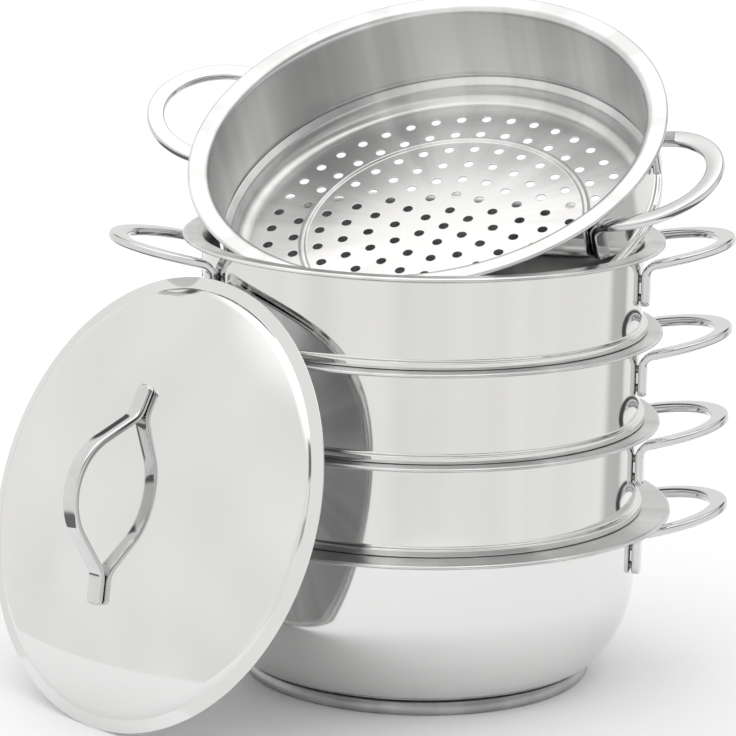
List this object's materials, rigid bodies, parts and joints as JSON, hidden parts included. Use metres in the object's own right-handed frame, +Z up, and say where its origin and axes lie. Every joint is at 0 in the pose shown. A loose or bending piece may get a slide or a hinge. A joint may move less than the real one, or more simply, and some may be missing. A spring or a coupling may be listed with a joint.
{
  "type": "stacked steamer pot",
  "caption": "Steel steamer: a pot with a thick base, stacked perforated tiers with strap handles, one more tier tilted in the top mouth, and a domed lid that leans on the stack.",
  "frame": {"origin": "middle of the pot's underside, on the surface it stands on", "axes": "+Z up along the stack's axis; the arrangement is seen from -Y, with the handles near the X axis"},
  "size_m": [0.4711, 0.3786, 0.4217],
  "materials": {
    "steel_polished": "polished stainless steel",
    "steel_satin": "polished outside, satin inside",
    "steel_strap": "polished steel strap",
    "steel_base": "fine turned",
    "aluminium_core": "matt",
    "weld": "weld spot"
  },
  "bodies": {
    "pot": {"pot_body": "steel_satin", "pot_bowl": "steel_satin", "pot_floor": "steel_satin", "pot_base_cap": "steel_base", "pot_base_core": "aluminium_core", "pot_handle_right": "steel_strap", "pot_handle_left": "steel_strap", "pot_handle_welds": "weld"},
    "tier_1": {"tier_1_body": "steel_satin", "tier_1_floor": "steel_satin", "tier_1_handle_right": "steel_strap", "tier_1_handle_left": "steel_strap", "tier_1_handle_welds": "weld"},
    "tier_2": {"tier_2_body": "steel_satin", "tier_2_floor": "steel_satin", "tier_2_handle_right": "steel_strap", "tier_2_handle_left": "steel_strap", "tier_2_handle_welds": "weld"},
    "tier_3": {"tier_3_body": "steel_satin", "tier_3_floor": "steel_satin", "tier_3_handle_right": "steel_strap", "tier_3_handle_left": "steel_strap", "tier_3_handle_welds": "weld"},
    "tier_4": {"tier_4_body": "steel_satin", "tier_4_floor": "steel_satin", "tier_4_handle_right": "steel_strap", "tier_4_handle_left": "steel_strap", "tier_4_handle_welds": "weld"},
    "lid": {"lid_dome": "steel_polished", "lid_rim": "steel_polished", "lid_handle": "steel_strap", "lid_handle_welds": "weld"}
  },
  "joints": [
    {"name": "tier_1_lift", "type": "slide", "parent": "pot", "child": "tier_1", "axis": [0, 0, 1], "range_m": [0, 0.1]},
    {"name": "tier_2_lift", "type": "slide", "parent": "tier_1", "child": "tier_2", "axis": [0, 0, 1], "range_m": [0, 0.1]},
    {"name": "tier_3_lift", "type": "slide", "parent": "tier_2", "child": "tier_3", "axis": [0, 0, 1], "range_m": [0, 0.1]},
    {"name": "tier_4_lift", "type": "slide", "parent": "tier_3", "child": "tier_4", "axis": [0, 0, 1], "range_m": [0, 0.1]},
    {"name": "lid_lift_away", "type": "slide", "parent": "tier_3", "child": "lid", "axis": [-0.6554, -0.6709, 0.3469], "range_m": [0, 0.12]}
  ]
}
